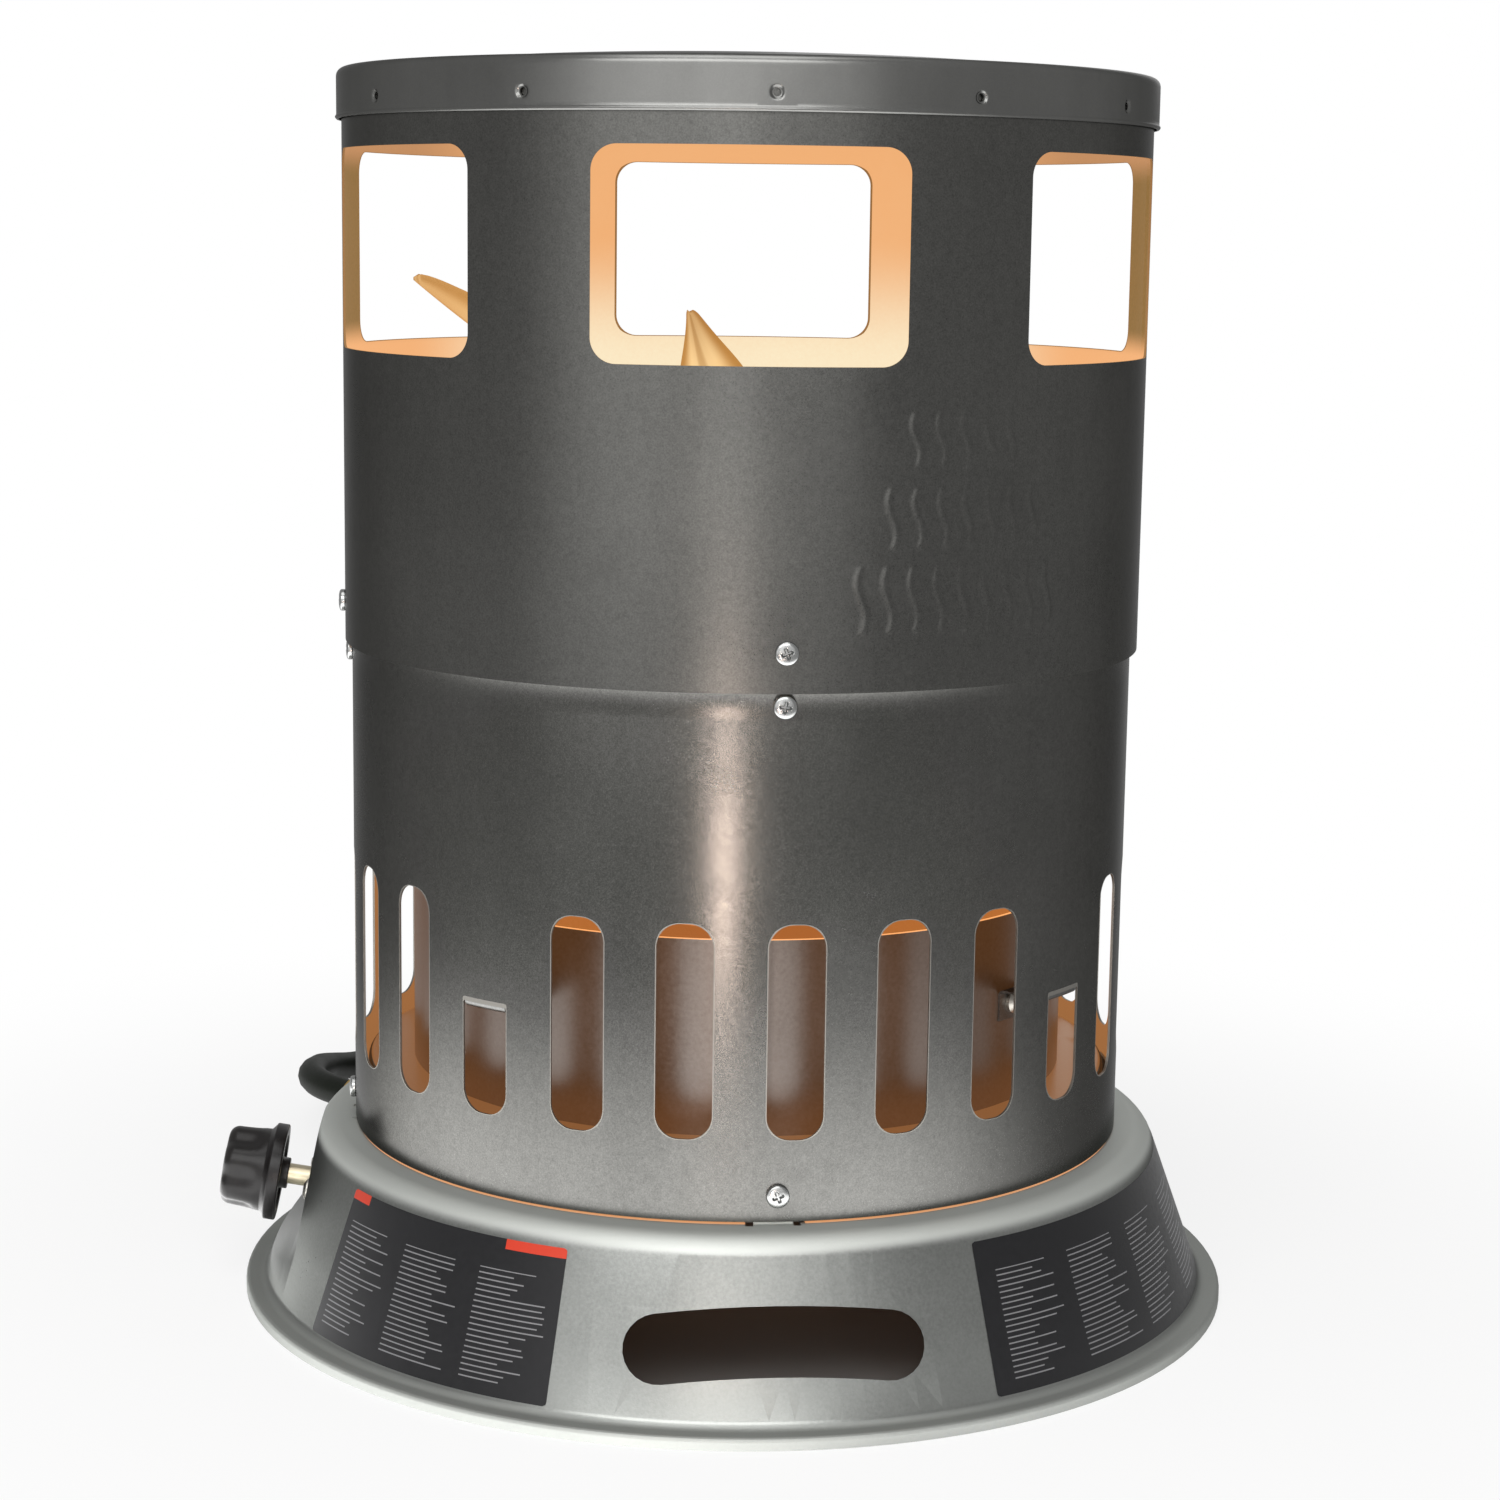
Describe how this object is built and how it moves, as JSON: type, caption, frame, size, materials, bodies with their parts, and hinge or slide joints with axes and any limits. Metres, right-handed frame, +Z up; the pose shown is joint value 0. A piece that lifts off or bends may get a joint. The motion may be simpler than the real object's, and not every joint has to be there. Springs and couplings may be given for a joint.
{
  "type": "portable propane convection heater",
  "caption": "Round sheet-steel gas heater on a flared base, with windows and slots round it, a push-and-turn valve knob, and a coiled hose with its regulator.",
  "frame": {"origin": "centre of the base on the surface that the heater stands on, on the axis of the shells", "axes": "+Z up along the axis of the shells, -Y towards the front, -X towards the knob's side"},
  "size_m": [0.3842, 0.5578, 0.458],
  "materials": {
    "lid": "bare galvanised sheet, lightly rubbed",
    "shell": "bare rolled sheet steel, satin",
    "drum": "bare sheet steel, satin, heat-tinted edge",
    "screw": "bright zinc plate",
    "base": "galvanised steel, pressed",
    "deflector": "heat-tinted stainless steel",
    "strap": "plain strip steel",
    "burner": "bare cast iron",
    "tube_steel": "drawn tube, satin",
    "brass": "turned brass",
    "copper": "drawn copper",
    "knob": "moulded black, fine grain",
    "collar": "moulded seal washers",
    "hose": "smooth black rubber hose",
    "tie": "nylon strap",
    "zinc": "die-cast zinc",
    "red_cap": "red enamel",
    "black_cap": "moulded black",
    "decal": "printed film"
  },
  "bodies": {
    "heater": {"top_cover": "lid", "upper_shell": "shell", "lower_shell": "shell", "seam_screws": "screw", "tab_screws": "screw", "drum_screws": "screw", "inner_drum": "drum", "deck_screws": "screw", "base_pan": "base", "deflector": "deflector", "deflector_legs": "strap", "deflector_screws": "screw", "burner_head": "burner", "burner_ports_plate": "burner", "venturi_tube": "tube_steel", "air_shutter": "tube_steel", "burner_bracket": "strap", "bracket_screws": "screw", "jet": "brass", "jet_elbow": "brass", "manifold_tube": "tube_steel", "manifold_nuts": "brass", "valve_body": "brass", "valve_bracket": "strap", "valve_screws": "screw", "thermocouple": "copper", "thermocouple_bracket": "strap", "thermocouple_lead": "copper", "inlet_tube": "tube_steel", "inlet_fitting": "brass", "inlet_collars": "collar", "inlet_lock_nut": "brass", "hose_ferrule": "brass", "gas_hose": "hose", "hose_coil": "hose", "hose_tie": "tie", "tail_hose": "hose", "tail_ferrule": "brass", "regulator_body": "zinc", "regulator_cover": "red_cap", "regulator_screws": "screw", "regulator_vent": "black_cap", "tank_nipple": "brass", "label_left": "decal", "label_right": "decal"},
    "thrust": {"thrust_washer": "tube_steel"},
    "knob": {"knob": "knob", "valve_stem": "brass"},
    "plug": {"valve_plug": "brass"},
    "tank_coupling": {"coupling_nut": "black_cap"},
    "hose_swivel": {"hose_nut": "brass"}
  },
  "joints": [
    {"name": "knob_push", "type": "slide", "parent": "heater", "child": "thrust", "axis": [0.9865, 0.0345, -0.1599], "range_m": [0, 0.004], "stiffness_N_per_m": 1500, "springref_m": -0.002},
    {"name": "knob_turn", "type": "hinge", "parent": "thrust", "child": "knob", "pos_m": [-0.17369, -0.00607, 0.0377], "axis": [-0.9865, -0.0345, 0.1599], "range_deg": [0, 180]},
    {"name": "plug_turn", "type": "hinge", "parent": "heater", "child": "plug", "pos_m": [-0.17369, -0.00607, 0.0377], "axis": [-0.9865, -0.0345, 0.1599], "range_deg": [0, 180]},
    {"name": "coupling_turn", "type": "hinge", "parent": "heater", "child": "tank_coupling", "pos_m": [0.11127, 0.2734, 0.026], "axis": [0.866, -0.5, 0], "continuous": true},
    {"name": "hose_nut_turn", "type": "hinge", "parent": "heater", "child": "hose_swivel", "pos_m": [-0.1487, 0.11828, 0.03], "axis": [-0.7826, 0.6225, 0], "continuous": true}
  ],
  "couplings": [
    {"joint": "plug_turn", "follows": "knob_turn", "ratio": 1}
  ]
}
